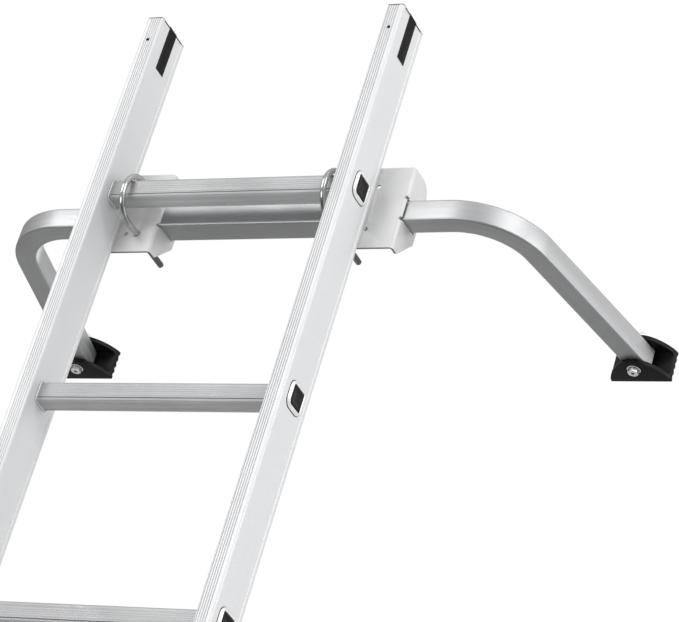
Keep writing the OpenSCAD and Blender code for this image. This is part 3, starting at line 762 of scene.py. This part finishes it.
# ---------------------------------------------------------------- U-bolts, nuts, washers
U_R, ROD_R, U_Y, U_END = 32.0, 4.0, 40.5, 138.0
nuts, washers = Build(), Build()
for side, ux in (("left", -138.0), ("right", 150.0)):
    b = Build()
    path = []
    smooth_to = 104.0
    for y in (smooth_to, 70.0, U_Y + 4):
        path.append(((y, U_R), (-1, 0)))
    for i in range(0, 41):
        a = math.pi * i / 40
        path.append(((U_Y - U_R * math.sin(a), U_R * math.cos(a)), (-math.cos(a), -math.sin(a))))
    for y in (U_Y + 4, 70.0, smooth_to):
        path.append(((y, -U_R), (1, 0)))
    rings = []
    for (y, z), (dy, dz) in path:
        ring = []
        for i in range(24):
            t = 2 * math.pi * i / 24
            nx, nn = ROD_R * math.cos(t), ROD_R * math.sin(t)
            ring.append((ux + nx, y - dz * nn, CLAMP_Z + z + dy * nn))
        rings.append(ring)
    b.loft(rings, True, True)
    for q in (-1, 1):
        threaded(b, (ux, 0, CLAMP_Z + q * U_R), (0, 1, 0), ROD_R, smooth_to - 0.5, U_END)
        ring = [(4.2, 0), (8.2, 0), (8.5, 0.3), (8.5, 1.3), (8.2, 1.6), (4.2, 1.6)]
        lathe(washers, (ux, 68, CLAMP_Z + q * U_R), (0, 1, 0), ring, 40)
        hex_part(nuts, (ux, 69.6, CLAMP_Z + q * U_R), (0, 1, 0), 13, 6.5, True)
    me = to_mesh(b, side)
    tidy(me)
    for p in me.polygons:
        p.material_index = 1 if p.center.y * 1000 - front > smooth_to - 0.6 else 0
    finish_piece(me, f"u_bolt_{side}_skin", (ROD_MAT, THREAD_MAT), "fly", (f"u_bolt_{side}",),
                 35)
for b, node in ((nuts, "u_bolt_nuts"), (washers, "u_bolt_washers")):
    me = to_mesh(b, node)
    tidy(me)
    finish_piece(me, node + "_skin", BOLT_MAT, "fly", (node,), 35)


# ---------------------------------------------------------------- wall pads and their bolts
def pad_curve():
    """Plan outline about the bolt: arched ears, swelling to full width at the wall."""
    right = [(2.8, -14.1), (5.6, -13.7), (8, -13.2), (12, -11.6), (16, -9.6), (19.6, -7.1), (23, -4.2),
             (25.8, -1.4), (28.5, 1.6), (30.8, 4.6), (33, 7.8), (35.1, 11.1), (37, 14.5), (38.5, 17.7),
             (39.8, 21), (40.8, 24), (41.5, 27), (41.5, PAD_FACE)]
    return [(-x, y) for x, y in reversed(right)] + [(0, -14.2)] + right


pad_bolts, pad_nuts, arm_bolts, arm_nuts, pad_shade_rings = Build(), Build(), Build(), Build(), Build()
PAD_GAP = 15.6              # from the arm's centre to the inside of an ear
PAD_WEB, PAD_FACE = 21.5, 30
EAR = PAD_GAP + 6
WASHER = [(6.9, 0.5), (7.3, 0.45), (7.8, 0), (8.6, 0.1), (9, 0.5), (9, 1.3), (8.7, 1.6), (4, 1.6)]
for side, s in SIDES:
    px, py = STAND_X + s * PAD_X, PAD_Y
    outline = [(px + x, py + y) for x, y in pad_curve()]
    me = prism(outline, (CLAMP_Z - EAR, CLAMP_Z + EAR))
    soft = PAD_WEB - 3
    slot = prism([(py - 60, CLAMP_Z - PAD_GAP), (py + soft, CLAMP_Z - PAD_GAP),
                  (py + PAD_WEB, CLAMP_Z - PAD_GAP + 3),
                  (py + PAD_WEB, CLAMP_Z + PAD_GAP - 3), (py + soft, CLAMP_Z + PAD_GAP),
                  (py - 60, CLAMP_Z + PAD_GAP)], (px - 60, px + 60), "yz")
    rib = 2 * EAR / 9
    cuts = [slot]
    for i in (-3, -1, 1, 3):
        h = CLAMP_Z + i * rib
        low, high = py + PAD_FACE - 1.8, py + PAD_FACE + 1
        sec = [(low, h - rib * 0.42), (high, h - rib * 0.6), (high, h + rib * 0.6), (low, h + rib * 0.42)]
        cuts.append(prism(sec, (px - 60, px + 60), "yz"))
    me = boolean(me, cuts)
    me = bevel(me, 1.3, 4, 32)
    finish_piece(me, f"wall_pad_{side}_skin", RUBBER_MAT, f"pad_{side}", (f"wall_pad_{side}",),
                 40)
    low, high = CLAMP_Z - EAR - 0.3, CLAMP_Z + EAR + 0.3
    lathe(pad_bolts, (px, py, low - 1.6), (0, 0, 1), WASHER, 44)
    hex_part(pad_bolts, (px, py, low - 1.6), (0, 0, -1), 13, 5.3)
    # Dark ring under the washer and dark disc in the head's end: painted shade of the washer seat and of a head
    # dimple.
    lathe(pad_shade_rings, (px, py, low - 1.72), (0, 0, 1), [(6.2, 0), (7.9, 0), (7.9, 0.4), (6.2, 0.4)], 44)
    lathe(pad_shade_rings, (px, py, low - 6.98), (0, 0, 1), [(0.2, 0), (2.3, 0), (2.3, 0.5), (0.2, 0.5)], 24)
    lathe(pad_bolts, (px, py, 0), (0, 0, 1), [(4, low), (4, high + 1)], 32)
    threaded(pad_bolts, (px, py, 0), (0, 0, 1), 4, high, high + 10.3)
    hex_part(pad_nuts, (px, py, high), (0, 0, 1), 13, 6.5, True)
    ax = STAND_X + s * 185
    hex_part(arm_bolts, (ax, TUBE_Y, CLAMP_Z + 18), (0, 0, 1), 10, 4)
    lathe(arm_bolts, (ax, TUBE_Y, CLAMP_Z), (0, 0, 1), [(3, -18), (3, 18)], 24)
    threaded(arm_bolts, (ax, TUBE_Y, CLAMP_Z), (0, 0, -1), 3, 17, 26, 1.0)
    hex_part(arm_nuts, (ax, TUBE_Y, CLAMP_Z - 18), (0, 0, -1), 10, 5, True)
me = to_mesh(pad_shade_rings, "pad_shade_rings")
tidy(me)
# Painted shade rings and discs for the pad bolts.
finish_piece(me, "pad_bolt_painted_shade_skin", PAINTED_SHADE_MAT, "fly", (), 35)
small = ((pad_bolts, "pad_bolts"), (pad_nuts, "pad_nuts"), (arm_bolts, "arm_bolts"),
         (arm_nuts, "arm_nuts"))
for b, node in small:
    me = to_mesh(b, node)
    tidy(me)
    finish_piece(me, node + "_skin", BOLT_MAT, "fly", (node,), 35)


# ---------------------------------------------------------------- stage, light, camera
bm = bmesh.new()
bmesh.ops.create_grid(bm, x_segments=8, y_segments=8, size=30.0)
me = bpy.data.meshes.new("floor")
bm.to_mesh(me)
bm.free()
floor = bpy.data.objects.new("floor", me)
scene.collection.objects.link(floor)
fm = Mat("floor_paint")
fo = fm.coords("Object", (1, 1, 1))
fm.link(fm.mix(fm.map(fm.noise(fo, 3.0, 4.0), 0.3, 0.7), grey(0.88), grey(0.92)), fm.b.inputs["Base Color"])
fm.set(Roughness=0.7)
me.materials.append(fm.m)
floor.visible_glossy = False

world = bpy.data.worlds.new("studio")
scene.world = world
world.use_nodes = True
wt = world.node_tree
wt.nodes.clear()
wout = wt.nodes.new("ShaderNodeOutputWorld")
tc = wt.nodes.new("ShaderNodeTexCoord")


def lobe(direction, low, high, value):
    """Brightness rising smoothly from low to high as the view nears a direction."""
    d = wt.nodes.new("ShaderNodeVectorMath")
    d.operation = "DOT_PRODUCT"
    d.inputs[1].default_value = Vector(direction).normalized()
    wt.links.new(tc.outputs["Generated"], d.inputs[0])
    r = wt.nodes.new("ShaderNodeMapRange")
    r.interpolation_type = "SMOOTHSTEP"
    for i, v in zip(("From Min", "From Max", "To Min", "To Max"), (low, high, 0.0, value)):
        r.inputs[i].default_value = v
    wt.links.new(d.outputs["Value"], r.inputs["Value"])
    return r.outputs[0]


total = None
for one in (lobe((-0.25, -0.72, 0.62), -0.1, 0.95, 0.60), lobe((0.85, 0.20, 0.35), -0.1, 0.9, 0.58),
            lobe((-0.4, 0.75, -0.5), 0.3, 1.0, 0.34), lobe((0, 0.3, 1), 0.3, 1.0, 0.15)):
    n = wt.nodes.new("ShaderNodeMath")
    n.operation = "ADD"
    n.inputs[1].default_value = 0.15
    wt.links.new(one, n.inputs[0])
    if total is not None:
        wt.links.new(total, n.inputs[1])
    total = n.outputs[0]
soft = wt.nodes.new("ShaderNodeBackground")
wt.links.new(total, soft.inputs[1])
seen = wt.nodes.new("ShaderNodeBackground")
seen.inputs[0].default_value = (1, 1, 1, 1)
seen.inputs[1].default_value = 1.0
lp = wt.nodes.new("ShaderNodeLightPath")
wm = wt.nodes.new("ShaderNodeMixShader")
wt.links.new(lp.outputs["Is Camera Ray"], wm.inputs[0])
wt.links.new(soft.outputs[0], wm.inputs[1])
wt.links.new(seen.outputs[0], wm.inputs[2])
wt.links.new(wm.outputs[0], wout.inputs[0])


def area(name, place, target, size, power, colour=(1, 1, 1)):
    light = bpy.data.lights.new(name, "AREA")
    light.shape = "RECTANGLE"
    light.size, light.size_y = size
    light.energy = power
    light.color = colour
    ob = bpy.data.objects.new(name, light)
    ob.location = place
    ob.rotation_euler = (Vector(target) - Vector(place)).to_track_quat("-Z", "Y").to_euler()
    ob.visible_camera = False
    scene.collection.objects.link(ob)


area("key", (-1.8, -3.4, 4.8), (0, 0, 3.0), (2.6, 2.2), 52)
area("side", (5.2, 0.8, 4.3), (0, 0, 3.2), (3.0, 3.2), 84)
area("bend", (3.3, -1.9, 5.2), (0.3, 0, 3.3), (2.2, 2.2), 42)
area("lower", (-1.4, -3.6, 1.6), (0, 0, 1.0), (2.0, 1.6), 40)
area("back", (-1.0, 3.4, 4.0), (0, 0, 2.0), (2.0, 2.4), 30)

AZ, EL, ROLL = math.radians(32.51), math.radians(-29.55), 0.2984
back = Vector((math.sin(AZ) * math.cos(EL), -math.cos(AZ) * math.cos(EL), math.sin(EL)))
right = Vector((math.cos(AZ), math.sin(AZ), 0))
up = back.cross(right)
right2 = math.cos(ROLL) * right + math.sin(ROLL) * up
up2 = -math.sin(ROLL) * right + math.cos(ROLL) * up
cam = bpy.data.cameras.new("camera")
cam.lens = 171.3
cam.sensor_width = 36
cam.clip_end = 50
ob = bpy.data.objects.new("camera", cam)
place = M((2015.5, -2799.9, RAIL_TOP - 2346.9))
ob.matrix_world = Matrix(((right2.x, up2.x, back.x, place.x), (right2.y, up2.y, back.y, place.y),
                          (right2.z, up2.z, back.z, place.z), (0, 0, 0, 1)))
scene.collection.objects.link(ob)
scene.camera = ob
